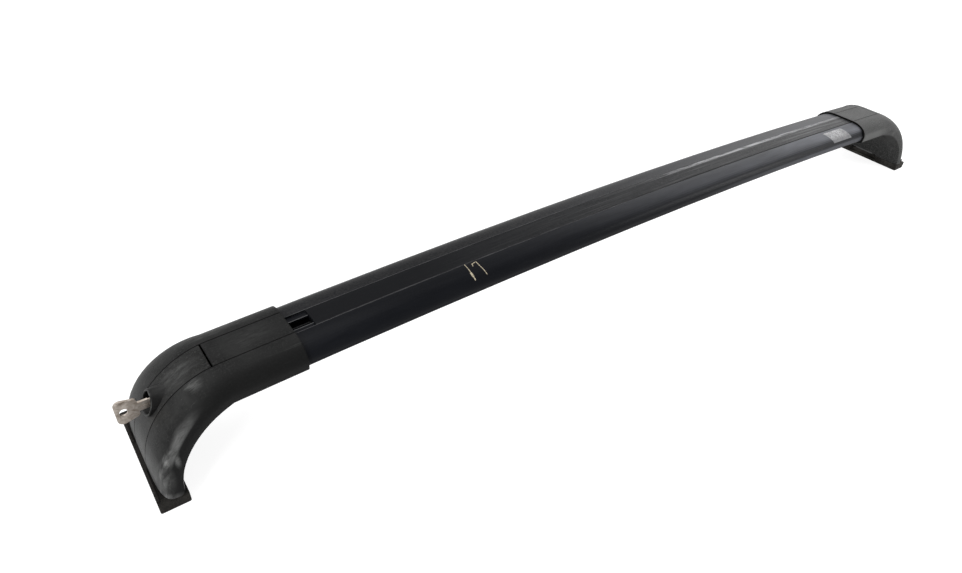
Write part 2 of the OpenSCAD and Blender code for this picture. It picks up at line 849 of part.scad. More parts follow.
module cam_screw() {
    color([0.6, 0.6, 0.6])
    difference() {
        union() {
            rod_x([cam_x - cam_screw_height, 0, lock_height], cam_screw_height, cam_screw_head);
            rod_x([cam_x - cam_screw_height / 2, 0, lock_height],
                  cam_screw_height / 2 + cam_thickness + cam_screw_bite, cam_screw_diameter);
        }
        block([cam_x - cam_screw_height - overrun, -cam_slot_width / 2,
               lock_height - cam_screw_head],
              [cam_x - cam_screw_height + cam_slot_depth, cam_slot_width / 2,
               lock_height + cam_screw_head]);
    }
}

// Key: a cut blade, a wider shank and a flat bow with an oval hole
shank_width = 9;
shank_inset = 2.3;
bow_start = 6.1;
bow_length = 17;
bow_near_half = 9.6;
bow_far_half = 12;
bow_near_radius = 3;
bow_far_radius = 5;
bow_hole_diameter = 6;
bow_hole_stretch = 1;
bow_hole_share = 0.64;
key_cut_depth = 1.6;
key_cut_half = 0.9;
key_cut_shares = [0.22, 0.42, 0.62, 0.82];
key_cut_depth_shares = [0.7, 1, 0.55, 0.85];
key_groove_width = 1.2;
key_groove_depth = 0.4;
key_corner_steps = 6;

function bow_corner(x, z, radius, from_angle, to_angle) = [for (i = [0:key_corner_steps])
    let (a = from_angle + (to_angle - from_angle) * i / key_corner_steps)
    [x + radius * cos(a), z + radius * sin(a)]];

module key() {
    near_x = mouth_centre_x + bow_start;
    far_x = near_x + bow_length;
    tip_x = plug_face_x - keyway_depth + seat_clearance;
    shank_x = plug_face_x + shank_inset;
    hole_x = near_x + bow_hole_share * bow_length;
    half = key_thickness / 2;
    blade_half = blade_width / 2;
    color([0.72, 0.69, 0.62])
    difference() {
        union() {
            block([tip_x, -half, lock_height - blade_half],
                  [shank_x + overrun, half, lock_height + blade_half]);
            block([shank_x, -half, lock_height - shank_width / 2],
                  [near_x + overrun, half, lock_height + shank_width / 2]);
            translate([0, 0, lock_height])
                across(-half, half)
                polygon(concat(
                    bow_corner(far_x - bow_far_radius, bow_far_half - bow_far_radius,
                               bow_far_radius, 0, 90),
                    bow_corner(near_x + bow_near_radius, bow_near_half - bow_near_radius,
                               bow_near_radius, 90, 180),
                    bow_corner(near_x + bow_near_radius, bow_near_radius - bow_near_half,
                               bow_near_radius, 180, 270),
                    bow_corner(far_x - bow_far_radius, bow_far_radius - bow_far_half,
                               bow_far_radius, 270, 360)
                ));
        }
        // Oval hole of the bow
        for (z = [-bow_hole_stretch / 2, bow_hole_stretch / 2])
            rod_y([hole_x, -half - overrun, lock_height + z], key_thickness + 2 * overrun,
                  bow_hole_diameter);
        block([hole_x - bow_hole_diameter / 2, -half - overrun, lock_height - bow_hole_stretch / 2],
              [hole_x + bow_hole_diameter / 2, half + overrun, lock_height + bow_hole_stretch / 2]);
        // Grooves along both faces, and the cuts in the blade's lower edge
        both_sides()
            block([tip_x - overrun, half - key_groove_depth, lock_height - key_groove_width / 2],
                  [near_x, half + overrun, lock_height + key_groove_width / 2]);
        for (i = [0:len(key_cut_shares) - 1])
            translate([tip_x + key_cut_shares[i] * (shank_x - tip_x), 0, lock_height - blade_half])
                across(-half - overrun, half + overrun)
                polygon([
                    [-2 * key_cut_half, -overrun], [2 * key_cut_half, -overrun],
                    [key_cut_half / 2, key_cut_depth * key_cut_depth_shares[i]],
                    [-key_cut_half / 2, key_cut_depth * key_cut_depth_shares[i]]
                ]);
    }
}

// Each foot is modelled on the right and mirrored to the left
module left() {
    mirror([1, 0, 0]) children();
}

bar_extrusion();
slot_strip();
left() housing();  // left_housing
left() top_panel();  // left_top_panel
left() lock_cover();  // left_lock_cover
left() hinge_pin();  // left_hinge_pin
left() bracket();  // left_bracket
left() base_pad();  // left_base_pad
left() bar_screws();  // left_bar_screws
left() post_screws();  // left_housing_screws
left() mount_bolt();  // left_mount_bolt
left() bolt_collar();  // left_bolt_collar
left() lock_barrel();  // left_lock_barrel
left() lock_clip();  // left_lock_clip
left() lock_plug();  // left_lock_plug
left() lock_cam();  // left_lock_cam
left() cam_screw();  // left_cam_screw
left() key();  // left_key
housing();  // right_housing
top_panel();  // right_top_panel
lock_cover();  // right_lock_cover
hinge_pin();  // right_hinge_pin
bracket();  // right_bracket
base_pad();  // right_base_pad
bar_screws();  // right_bar_screws
post_screws();  // right_housing_screws
mount_bolt();  // right_mount_bolt
bolt_collar();  // right_bolt_collar
lock_barrel();  // right_lock_barrel
lock_clip();  // right_lock_clip
lock_plug();  // right_lock_plug
lock_cam();  // right_lock_cam
cam_screw();  // right_cam_screw
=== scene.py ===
import json
import math

import bmesh
import bpy
from mathutils import Matrix, Vector


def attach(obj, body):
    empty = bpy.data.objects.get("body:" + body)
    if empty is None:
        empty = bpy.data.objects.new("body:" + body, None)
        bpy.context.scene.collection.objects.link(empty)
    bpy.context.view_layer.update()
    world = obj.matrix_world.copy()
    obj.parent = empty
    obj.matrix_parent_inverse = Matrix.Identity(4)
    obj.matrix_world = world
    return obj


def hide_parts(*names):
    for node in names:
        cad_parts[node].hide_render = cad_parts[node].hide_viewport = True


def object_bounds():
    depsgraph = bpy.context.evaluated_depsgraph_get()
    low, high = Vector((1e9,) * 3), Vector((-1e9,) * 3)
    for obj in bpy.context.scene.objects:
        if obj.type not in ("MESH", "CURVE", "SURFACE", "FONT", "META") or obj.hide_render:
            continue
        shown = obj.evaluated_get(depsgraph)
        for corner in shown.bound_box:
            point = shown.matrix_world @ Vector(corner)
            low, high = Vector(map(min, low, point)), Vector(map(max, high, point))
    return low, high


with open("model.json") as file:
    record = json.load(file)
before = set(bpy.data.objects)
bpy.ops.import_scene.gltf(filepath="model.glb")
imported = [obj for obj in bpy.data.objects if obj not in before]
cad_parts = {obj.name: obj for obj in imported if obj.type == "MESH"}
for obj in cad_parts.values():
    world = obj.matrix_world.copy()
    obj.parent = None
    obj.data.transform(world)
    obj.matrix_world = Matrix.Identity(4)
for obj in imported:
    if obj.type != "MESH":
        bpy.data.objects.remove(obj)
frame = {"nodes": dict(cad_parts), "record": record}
cad_box = [list(v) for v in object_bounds()]
scene = bpy.context.scene
scene.view_settings.view_transform = "Standard"
SIDES = ("left", "right")

# ---------------------------------------------------------------- camera
YAW, PITCH, ROLL = math.radians(38.912), math.radians(37.75), math.radians(4.509)
FOCAL_PIXELS, IMAGE_WIDTH = 692.3, 962.0
PLACE = (-0.58496, -0.44447, 0.48796)
forward = Vector((math.sin(YAW) * math.cos(PITCH), math.cos(YAW) * math.cos(PITCH), -math.sin(PITCH)))
level = Vector((math.cos(YAW), -math.sin(YAW), 0))
upright = level.cross(forward)
right = level * math.cos(ROLL) + upright * math.sin(ROLL)
up = upright * math.cos(ROLL) - level * math.sin(ROLL)
camera = bpy.data.objects.new("camera", bpy.data.cameras.new("camera"))
scene.collection.objects.link(camera)
camera.matrix_world = Matrix.Translation(PLACE) @ Matrix((right, up, -forward)).transposed().to_4x4()
camera.data.sensor_width = 36.0
camera.data.lens = 36.0 * FOCAL_PIXELS / IMAGE_WIDTH
camera.data.clip_start = 0.01
scene.camera = camera

# ---------------------------------------------------------------- sizes of the part, in metres
MOUTH_X = 0.4345                            # the sleeve's mouth, where the bar goes in
CROWN_HEIGHT, ARCH_RADIUS = 0.0985, 10.8    # the bar's crown at mid-length, and its long arch
BAR_HALF, BAR_HEIGHT = 0.03675, 0.0225      # the aero section
SLOT_OFFSET = 0.002                         # the slot's middle lies this far to the front
WINDOW_HALF, PANEL_HALF = 0.0154, 0.015     # the housing's opening, and the parts that fill it
SKIN = 0.0028                               # the sleeve's wall
NOSE_Z = SKIN - 0.61 * (BAR_HEIGHT + 2 * SKIN)
ELBOW_X, BASE_Z = 0.4995, 0.009             # the foot's outside turns away from this line
LOCK_Z, LOCK_LEAN = 0.0635, math.tan(math.radians(22))
RIM_INSIDE, RIM_OUTSIDE = 0.0085, 0.0110    # radii round the rim of the lock's boss
RIM_EDGE = (0.0107, 0.0108)                 # radii at which only the rim's outer edge lies
BOSS_X = 0.5505                             # the boss stands outside of this

# Widths of the small edge roundings
HOUSING_ROUND, TRIM_ROUND, RIM_ROUND, PLUG_ROUND = 0.0005, 0.0004, 0.00085, 0.0003


def top_z(x):
    return CROWN_HEIGHT - ARCH_RADIUS + math.sqrt(ARCH_RADIUS ** 2 - x ** 2)


# ---------------------------------------------------------------- node helpers
class Nodes:
    """A short way to build one material's node tree."""

    def __init__(self, name, world=False):
        if world:
            self.data = bpy.data.worlds.new(name)
        else:
            self.data = bpy.data.materials.new(name)
        self.data.use_nodes = True
        self.tree = self.data.node_tree
        self.tree.nodes.clear()

    def add(self, kind, inputs=None, **settings):
        node = self.tree.nodes.new(kind)
        for key, value in settings.items():
            setattr(node, key, value)
        for key, value in (inputs or {}).items():
            if isinstance(value, bpy.types.NodeSocket):
                self.tree.links.new(value, node.inputs[key])
            else:
                node.inputs[key].default_value = value
        return node

    def math(self, operation, a, b=0.0, clamp=False):
        node = self.add("ShaderNodeMath", {0: a, 1: b}, operation=operation, use_clamp=clamp)
        return node.outputs[0]

    def product(self, *values):
        result = values[0]
        for value in values[1:]:
            result = self.math("MULTIPLY", result, value)
        return result

    def most(self, *values):
        result = values[0]
        for value in values[1:]:
            result = self.math("MAXIMUM", result, value)
        return result

    def mix(self, factor, a, b):
        node = self.add("ShaderNodeMix", {"Factor": factor, 6: a, 7: b}, data_type="RGBA")
        return node.outputs[2]

    def ramp(self, value, low, high, to_low=0.0, to_high=1.0):
        node = self.add("ShaderNodeMapRange", {0: value, 1: low, 2: high, 3: to_low, 4: to_high}, clamp=True)
        return node.outputs[0]

    def noise(self, vector, scale, detail=3.0, rough=0.55, distortion=0.0):
        node = self.add("ShaderNodeTexNoise", {
            "Vector": vector, "Scale": scale, "Detail": detail, "Roughness": rough, "Distortion": distortion})
        return node.outputs["Fac"]

    def scaled(self, vector, scale, rotation=(0, 0, 0), location=(0, 0, 0)):
        node = self.add("ShaderNodeMapping", {
            "Vector": vector, "Scale": scale, "Rotation": rotation, "Location": location})
        return node.outputs[0]

    def place(self):
        return self.add("ShaderNodeTexCoord").outputs["Object"]

    def split(self, vector):
        return self.add("ShaderNodeSeparateXYZ", {0: vector}).outputs

    def facing(self):
        """How far the surface faces up: 1 on top, -1 below."""
        return self.split(self.add("ShaderNodeTexCoord").outputs["Normal"])[2]

    def turned(self, way):
        """How far the surface turns towards a direction: 1 when it faces it."""
        normal = self.add("ShaderNodeTexCoord").outputs["Normal"]
        way = Vector(way).normalized()
        return self.vectors("DOT_PRODUCT", normal, way)["Value"]

    def vectors(self, operation, a, b=(0, 0, 0)):
        return self.add("ShaderNodeVectorMath", {0: a, 1: b}, operation=operation).outputs

    def spot(self, vector, centre, reach, soft=0.5):
        """A soft ellipsoid: 1 within it, falling to 0 at its edge."""
        apart = self.vectors("SUBTRACT", vector, centre)[0]
        share = self.vectors("DIVIDE", apart, reach)[0]
        return self.ramp(self.vectors("LENGTH", share)["Value"], 1.0, 1.0 - soft)

    def stroke(self, vector, start, end, width):
        """A thin line between two points of the XY plane, seen from above."""
        first = Vector((*start, 0))
        run = Vector((*end, 0)) - first
        flat = self.vectors("MULTIPLY", vector, (1, 1, 0))[0]
        rel = self.vectors("SUBTRACT", flat, first)[0]
        dot = self.vectors("DOT_PRODUCT", rel, run / run.length_squared)["Value"]
        along = self.math("ADD", dot, 0.0, clamp=True)
        foot = self.add("ShaderNodeVectorMath", {0: run, "Scale": along}, operation="SCALE").outputs[0]
        return self.ramp(self.vectors("DISTANCE", rel, foot)["Value"], width, width * 0.5)

    def surface(self, shade, rough, height, strength, distance, **settings):
        bump = self.add("ShaderNodeBump", {"Height": height, "Strength": strength, "Distance": distance})
        inputs = {"Base Color": shade, "Roughness": rough, "Normal": bump.outputs[0]}
        inputs.update({key.replace("_", " "): value for key, value in settings.items()})
        shader = self.add("ShaderNodeBsdfPrincipled", inputs)
        self.add("ShaderNodeOutputMaterial", {0: shader.outputs[0]})
        return self.data


def colour(level, warm=0.0):
    """A grey as linear light from a display level of 0 to 255, slightly warm or cool."""
    def lin(v):
        v = max(v, 0) / 255
        return v / 12.92 if v <= 0.04045 else ((v + 0.055) / 1.055) ** 2.4
    return (lin(level + warm), lin(level), lin(level - warm), 1.0)


# ---------------------------------------------------------------- materials
# Directions, as the surface's normal: the outside of the left foot, where dust lies and those faces
# are painted lighter as if lit; the leg's ridge, where a highlight is painted; and the side of the
# right foot that gets the full dust and is painted lighter, with faces turned away painted darker
DUST_AND_LIGHT_WAY, RIDGE_HIGHLIGHT_WAY, OPEN_DUST_AND_LIGHT_WAY = (-0.60, 0.35, 0.70), (-0.50, -0.66, 0.56), (0.5, -0.3, 0.8)
# Colours: painted shade in the grooves and at the strip's front edge, worn rubber, the bar's dust that also
# paints its sheen and the floor's reflection, the bar's black, grit, painted highlights on the bar's edges, and
# bare metal
GROOVE_SHADE_BLACK, GAP_SHADE_BLACK = (0.001, 0.001, 0.001, 1), (0.002, 0.002, 0.002, 1)
WORN_RUBBER, BAR_DUST_AND_SHEEN = (0.36, 0.36, 0.37, 1), (0.100, 0.103, 0.115, 1)
BAR_BLACK, REAR_GRIT = (0.0026, 0.0030, 0.0043, 1), (0.070, 0.068, 0.066, 1)
EDGE_HIGHLIGHT_GREY, BARE_METAL = (0.16, 0.16, 0.165, 1), (0.42, 0.37, 0.27, 1)


def plastic(name, base, dust, spots=(), lift=1.0):
    """Moulded plastic: fine grain, dust that grows to the right, rubbing marks, and painted light and shade:
    highlights on the left leg's ridge and the right foot's crease, sides turned to the light painted lighter
    and those turned away darker, and dark shade in the sleeve's mouth and the seams.

    spots: (centre, reach, amount) of single worn places and painted highlights; lift: more dust at the left
    end."""
    n = Nodes(name)
    p = n.place()
    x, y, z = n.split(p)[:3]
    x_off = n.math("ABSOLUTE", x)
    fine = n.noise(p, 1500.0, 2.0, 0.6)
    medium = n.noise(p, 640.0, 4.0, 0.7)
    cloud = n.noise(p, 26.0, 6.0, 0.66, 0.5)
    far = n.ramp(x, -0.1, 0.5)

    # Dust, partly painted light and shade: a cloudy film with specks and grain in it
    # Dust settles on what faces this way, and it also paints those faces lighter, as if lit from the left
    up = n.most(n.ramp(n.turned(DUST_AND_LIGHT_WAY), 0.48, 0.95), n.product(far, 0.7))
    # Painted shade on the right foot: faces turned away from this way get half the dust, so they read darker,
    # as if shaded
    dust_and_light_side = n.ramp(n.turned(OPEN_DUST_AND_LIGHT_WAY), -0.9, 0.3, 0.5, 1.0)
    film = n.product(n.ramp(cloud, 0.40, 0.72), up, n.ramp(far, 0.0, 1.0, 0.20 * lift, 0.5))
    film = n.most(film, n.product(far, n.ramp(cloud, 0.3, 0.7, 0.18, 0.36), dust_and_light_side))
    speck = n.product(n.ramp(medium, 0.48, 0.70), n.math("ADD", up, 0.10),
                      n.ramp(far, 0.0, 1.0, 0.20 * lift, 0.85))
    grain = n.product(far, n.ramp(n.noise(p, 420.0, 5.0, 0.8), 0.40, 0.68), dust_and_light_side, 0.58)

    # Rubbing scuffs along the bar; painted highlights along the right foot's front crease and the
    # left leg's ridge; and a paler band low on the feet's side faces, above both pads
    streak = n.noise(n.scaled(p, (16.0, 230.0, 230.0)), 1.0, 4.0, 0.65, 1.2)
    scuff = n.product(n.ramp(streak, 0.60, 0.72), n.ramp(cloud, 0.42, 0.6), 0.45 * lift,
                      n.math("ADD", up, 0.2))
    # A painted highlight along the right foot's front crease
    crease_highlight = n.product(n.ramp(y, -0.0370, -0.0392), n.ramp(x, 0.43, 0.44),
                       n.ramp(x, 0.535, 0.480), 0.6)
    along_leg = n.scaled(p, (75.0, 260.0, 75.0))
    torn = n.ramp(n.noise(along_leg, 1.0, 6.0, 0.72, 0.3), 0.32, 0.64)
    # A painted highlight along the left leg's ridge, on the faces turned to this way, broken into streaks
    ridge_highlight = n.product(n.ramp(n.turned(RIDGE_HIGHLIGHT_WAY), 0.938, 0.990), n.ramp(z, 0.032, 0.046),
                      n.ramp(z, 0.082, 0.062), n.ramp(x, -0.515, -0.535),
                      n.ramp(torn, 0.0, 1.0, 0.28, 1.0), 0.52)
    # Paler low on the feet's side faces, above both pads
    sideways = n.math("ABSOLUTE", n.turned((1, 0, 0)))
    low_side_pale = n.product(n.ramp(z, 0.046, 0.010), n.ramp(sideways, 0.6, 0.9),
                       n.ramp(x_off, 0.555, 0.565), n.ramp(torn, 0.0, 1.0, 0.5, 1.0), 0.62)
    marks = n.most(film, speck, scuff, crease_highlight, ridge_highlight, grain, low_side_pale)
    # Single marks: worn places, and the painted highlight on the left leg's ridge
    for centre, reach, amount in spots:
        marks = n.most(marks, n.product(n.spot(p, centre, reach, 0.85), torn, amount))
    shade = n.mix(marks, base, dust)

    # Painted shade: dark in the sleeve's mouth and in the two long seams, on what faces up
    mouth_shade = n.ramp(x_off, MOUTH_X + 0.0002, MOUTH_X + 0.0007, 0.12, 1.0)
    seam_y = (WINDOW_HALF + PANEL_HALF) / 2
    beside = n.math("ABSOLUTE", n.math("SUBTRACT", n.math("ABSOLUTE", y), seam_y))
    seam_shade = n.most(n.ramp(beside, 0.0004, 0.0008, 0.25, 1.0), n.ramp(n.facing(), 0.02, -0.05))
    shade = n.mix(n.product(mouth_shade, seam_shade), GROOVE_SHADE_BLACK, shade)

    rough = n.math("ADD", n.ramp(cloud, 0.25, 0.75, 0.38, 0.5), n.math("MULTIPLY", marks, 0.25))
    height = n.math("ADD", n.math("MULTIPLY", fine, 0.6), n.math("MULTIPLY", medium, 0.7))
    return n.surface(shade, rough, height, 0.75, 0.00018, Specular_IOR_Level=0.065)


def rubber(name, base, dust, roughness, along=False):
    """Matt rubber with dust that grows to the right; along: the strip's long streaks, painted highlights on its
    edges and a painted shade line at its front edge.
    """
    n = Nodes(name)
    p = n.place()
    x, y = n.split(p)[:2]
    fine = n.noise(p, 900.0, 3.0, 0.65)
    cloud = n.noise(p, 34.0, 5.0, 0.65, 0.5)
    if along:
        streak = n.noise(n.scaled(p, (12.0, 480.0, 60.0)), 1.0, 4.0, 0.65, 0.5)
        far = n.ramp(x, -0.30, 0.42, 0.02, 1.0)
        speck = n.product(n.ramp(n.noise(p, 380.0, 5.0, 0.8), 0.44, 0.66), 0.75)
        marks = n.most(n.ramp(streak, 0.40, 0.72), n.ramp(cloud, 0.36, 0.8, 0.1, 0.6), speck)
        marks = n.product(marks, far)

        # Painted highlights on the strip's edges, in the left half only
        off = n.math("ABSOLUTE", n.math("ADD", y, SLOT_OFFSET))
        edge = n.product(n.ramp(off, 0.0109, 0.0112), n.ramp(cloud, 0.35, 0.6, 0.04, 0.4),
                         n.ramp(x, 0.15, -0.05))
        shade = n.mix(n.most(marks, edge), base, dust)

        # A bright worn streak near the rear edge, and painted shade as a dark line at the front one
        torn = n.noise(n.scaled(p, (40.0, 500.0, 60.0)), 1.0, 5.0, 0.7, 0.4)
        rear = n.product(n.ramp(y, 0.0042, 0.0056), n.ramp(x, 0.0, 0.14),
                         n.ramp(torn, 0.38, 0.56), n.ramp(x, 0.33, 0.22, 0.6, 0.85))
        shade = n.mix(rear, shade, WORN_RUBBER)
        front_gap_shade = n.product(n.ramp(y, -0.0117, -0.0121), n.ramp(x, -0.1, 0.1), 0.9)
        shade = n.mix(front_gap_shade, shade, GAP_SHADE_BLACK)
    else:
        far = n.ramp(x, 0.0, 0.5, 0.5, 1.6)
        marks = n.most(n.ramp(cloud, 0.44, 0.75, 0.0, 0.6), n.product(n.ramp(fine, 0.50, 0.70), 0.5))
        shade = n.mix(n.math("MULTIPLY", marks, far, clamp=True), base, dust)
    rough = n.ramp(cloud, 0.2, 0.8, roughness - 0.06, roughness + 0.1)
    return n.surface(shade, rough, fine, 0.6, 0.00016, Specular_IOR_Level=0.05)


# Bare scratches on the bar's front: from (x, y), to (x, y), width
SCRATCHES = (
    ((-0.2600, -0.0138), (-0.2604, -0.0250), 0.0005), ((-0.2606, -0.0262), (-0.2604, -0.0292), 0.0014),
    ((-0.2604, -0.0290), (-0.2600, -0.0325), 0.0008), ((-0.2536, -0.0168), (-0.2495, -0.0160), 0.0006),
    ((-0.2530, -0.0170), (-0.2541, -0.0198), 0.0005), ((-0.2479, -0.0158), (-0.2478, -0.0218), 0.0006),
    ((-0.2478, -0.0218), (-0.2458, -0.0320), 0.0005),
)


def bar_paint():
    """Satin black coat with faint drawing lines, dust and painted sheen that grow to the right, a painted floor
    reflection under the nose, painted highlights beside the strip, and scratches.
    """
    n = Nodes("bar_coat")
    p = n.place()
    x, y = n.split(p)[:2]
    rise = n.facing()
    lines = n.noise(n.scaled(p, (3.0, 900.0, 900.0)), 1.0, 3.0, 0.6)
    cloud = n.noise(n.scaled(p, (7.0, 46.0, 46.0)), 1.0, 5.0, 0.6, 0.3)
    fine = n.noise(p, 800.0, 3.0, 0.6)
    far = n.ramp(x, -0.3, 0.45)

    # Dust with painted sheen: a film on top that grows to the right; under the nose a painted reflection of the
    # floor; specks, and grit behind the strip
    # Dust, and painted sheen on top that grows to the right
    film = n.product(n.ramp(cloud, 0.34, 0.70, 0.35, 1.0), n.math("POWER", far, 1.6),
                     n.ramp(rise, 0.66, 0.92), 1.35)
    film = n.most(film, n.product(n.ramp(cloud, 0.4, 0.7), 0.03))
    # A painted reflection of the floor under the nose, towards the right
    nose_reflection = n.product(n.ramp(rise, 0.35, 0.08), n.ramp(rise, -0.6, -0.2),
                     n.ramp(x, 0.06, 0.24), n.ramp(cloud, 0.35, 0.6, 0.35, 0.6))
    speck = n.product(n.ramp(fine, 0.60, 0.76), n.ramp(far, 0.0, 1.0, 0.05, 0.4))
    shade = n.mix(n.most(film, nose_reflection, speck), BAR_BLACK, BAR_DUST_AND_SHEEN)
    grit = n.noise(p, 520.0, 6.0, 0.8, 0.6)
    rear = n.product(n.ramp(y, 0.0098, 0.0102), n.ramp(grit, 0.35, 0.7),
                     n.ramp(rise, 0.0, 0.3), n.ramp(far, 0.0, 1.0, 0.30, 0.95))
    shade = n.mix(rear, shade, REAR_GRIT)

    # Painted highlights: light lines beside the strip and on the lips of the slot's open end, broken by noise
    off = n.math("ABSOLUTE", n.math("ADD", y, SLOT_OFFSET))
    on_top = n.ramp(rise, 0.6, 0.9)
    broken = n.ramp(n.noise(n.scaled(p, (30.0, 60.0, 60.0)), 1.0, 4.0, 0.7), 0.35, 0.6, 0.08, 0.5)
    rub = n.product(n.ramp(x, 0.15, -0.05, 0.2, 1.0), n.ramp(off, 0.01155, 0.0117),
                    n.ramp(off, 0.0122, 0.0120), on_top, broken)
    lip_highlight = n.product(n.ramp(off, 0.0066, 0.0058), n.ramp(off, 0.0052, 0.0054), on_top, 0.5)
    shade = n.mix(n.most(rub, lip_highlight), shade, EDGE_HIGHLIGHT_GREY)

    wear = n.most(*(n.stroke(p, start, end, width) for start, end, width in SCRATCHES))
    wear = n.product(wear, n.ramp(n.noise(p, 900.0, 2.0, 0.6), 0.38, 0.5, 0.35, 1.0),
                     n.ramp(rise, 0.1, 0.3))
    shade = n.mix(wear, shade, BARE_METAL)
    rough = n.math("ADD", n.ramp(cloud, 0.3, 0.7, 0.28, 0.4), n.ramp(far, 0.3, 1.0, 0.03, 0.16))
    height = n.math("SUBTRACT", n.math("ADD", lines, n.math("MULTIPLY", fine, 0.5)), wear)
    return n.surface(shade, rough, height, 0.25, 0.00008, Specular_IOR_Level=0.055)


def metal(name, base, dark, roughness, scale=1.0):
    """Worn metal: fine rubbing marks, tarnish in patches."""
    n = Nodes(name)
    p = n.place()
    rub = n.noise(n.scaled(p, (260.0 * scale, 1400.0 * scale, 240.0 * scale), (0.3, 0.2, 0.5)), 1.0, 3.0, 0.6)
    cloud = n.noise(p, 180.0 * scale, 4.0, 0.6, 0.6)
    shade = n.mix(n.ramp(cloud, 0.38, 0.72), base, dark)
    rough = n.math("ADD", n.ramp(cloud, 0.3, 0.7, roughness, roughness + 0.14), n.math("MULTIPLY", rub, 0.12))
    height = n.math("ADD", rub, n.math("MULTIPLY", cloud, 0.7))
    return n.surface(shade, rough, height, 0.35, 0.0001, Metallic=1.0)


def foil():
    """Blank silver foil: crinkled, duller towards one end."""
    n = Nodes("foil")
    p = n.place()
    crinkle = n.noise(p, 240.0, 5.0, 0.7, 1.5)
    tone = n.ramp(n.split(p)[0], 0.384, 0.390)
    low = n.ramp(n.split(p)[1], -0.028, -0.033)
    shade = n.mix(n.ramp(crinkle, 0.42, 0.6), (0.25, 0.25, 0.255, 1), (0.10, 0.10, 0.105, 1))
    shade = n.mix(n.most(n.product(tone, 0.5), n.product(low, 0.8)), shade, (0.07, 0.07, 0.075, 1))
    return n.surface(shade, n.ramp(crinkle, 0.3, 0.7, 0.35, 0.5), crinkle, 0.5, 0.0002, Specular_IOR_Level=0.25)


# Marks of the feet: centre, reach and amount. The first three paint the highlight on the left leg's ridge,
# the next two make the left foot paler low down, and the rest are worn places. The covers take COVER_SPOTS of
# them
FOOT_SPOTS = (
    ((-0.5545, -0.0468, 0.0470), (0.008, 0.005, 0.012), 0.80),
    ((-0.5585, -0.0460, 0.0410), (0.006, 0.005, 0.010), 1.2),
    ((-0.5520, -0.0510, 0.0420), (0.003, 0.003, 0.010), 0.7),
    ((-0.5650, -0.0470, 0.0260), (0.011, 0.014, 0.022), 0.60),
    ((-0.5700, -0.0440, 0.0090), (0.018, 0.034, 0.008), 1.2),
    ((-0.523, -0.0210, 0.0830), (0.012, 0.009, 0.008), 0.6),
    ((-0.530, 0.0000, 0.0820), (0.026, 0.020, 0.020), 0.4),
    ((-0.496, 0.0300, 0.0860), (0.040, 0.014, 0.012), 0.5),
    ((-0.470, 0.0020, 0.0910), (0.040, 0.020, 0.010), 0.16),
    ((0.548, -0.0400, 0.0400), (0.030, 0.020, 0.040), 0.4),
    ((0.514, -0.0430, 0.0700), (0.045, 0.012, 0.030), 0.6),
)
COVER_SPOTS = FOOT_SPOTS[3:8]
FOOT_BASE, FOOT_DUST = (0.0048, 0.0049, 0.0049, 1), (0.125, 0.126, 0.124, 1)
COVER_BASE = (0.0056, 0.0056, 0.0055, 1)
STRIP_BASE, STRIP_DUST = (0.0026, 0.0029, 0.0038, 1), (0.12, 0.12, 0.122, 1)
PAD_BASE, PAD_DUST = (0.0105, 0.0100, 0.0092, 1), (0.075, 0.070, 0.064, 1)
MATERIALS = {
    "bar_coat": bar_paint(),
    "strip_rubber": rubber("strip_rubber", STRIP_BASE, STRIP_DUST, 0.5, along=True),
    "foot_plastic": plastic("foot_plastic", FOOT_BASE, FOOT_DUST, FOOT_SPOTS),
    "cover_plastic": plastic("cover_plastic", COVER_BASE, FOOT_DUST, COVER_SPOTS, 1.35),
    "pad_rubber": rubber("pad_rubber", PAD_BASE, PAD_DUST, 0.75),
    "bracket_metal": metal("bracket_metal", colour(96), colour(70), 0.55, 0.5),
    "fastener_steel": metal("fastener_steel", colour(178), colour(140), 0.34),
    "lock_metal": metal("lock_metal", colour(96), colour(60), 0.4),
    "key_metal": metal("key_metal", colour(170, 8), colour(104, 10), 0.34),
    "collar_nylon": plastic("collar_nylon", colour(215, 5), colour(190, 8)),
    "foil": foil(),
}
SLOTS = {row["node"]: row["material_slot"] for row in frame["record"]["subparts"]}
BODY_OF = {n: b for b, ns in frame["record"]["behaviour"]["bodies"].items() for n in ns}


# ---------------------------------------------------------------- mesh helpers
def smooth(mesh, degrees=35.0):
    if "custom_normal" in mesh.attributes:
        mesh.attributes.remove(mesh.attributes["custom_normal"])
    for face in mesh.polygons:
        face.use_smooth = True
    mesh.set_sharp_from_angle(angle=math.radians(degrees))


def add_piece(name, bm, body, material, replaced=()):
    """A finished mesh as a piece of the object, riding on its body."""
    mesh = bpy.data.meshes.new(name)
    bm.normal_update()
    bm.to_mesh(mesh)
    bm.free()
    smooth(mesh)
    piece = bpy.data.objects.new(name, mesh)
    scene.collection.objects.link(piece)
    mesh.materials.append(MATERIALS[material])
    weighted = piece.modifiers.new("even_faces", "WEIGHTED_NORMAL")
    weighted.keep_sharp = True
    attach(piece, body)
    for node in replaced:
        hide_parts(node)


def node_form(node, flat=0.4):
    """A CAD node's own form with its doubled corners and flat faces joined."""
    bm = bmesh.new()
    bm.from_mesh(frame["nodes"][node].data)
    bmesh.ops.remove_doubles(bm, verts=bm.verts, dist=2e-6)
    bmesh.ops.dissolve_limit(bm, angle_limit=math.radians(flat), use_dissolve_boundaries=False,
                             verts=bm.verts, edges=bm.edges)
    return bm


def round_edges(bm, wanted, width, segments):
    """Rounds the convex edges that a test picks."""
    bm.normal_update()
    edges = [e for e in bm.edges if len(e.link_faces) == 2 and e.is_convex
             and e.calc_face_angle() > math.radians(30) and wanted(e)]
    if edges:
        bmesh.ops.bevel(bm, geom=edges, offset=width, offset_type="OFFSET", segments=segments,
                        profile=0.5, affect="EDGES", clamp_overlap=True, loop_slide=True)


def both(edge, test):
    return all(test(v.co) for v in edge.verts)


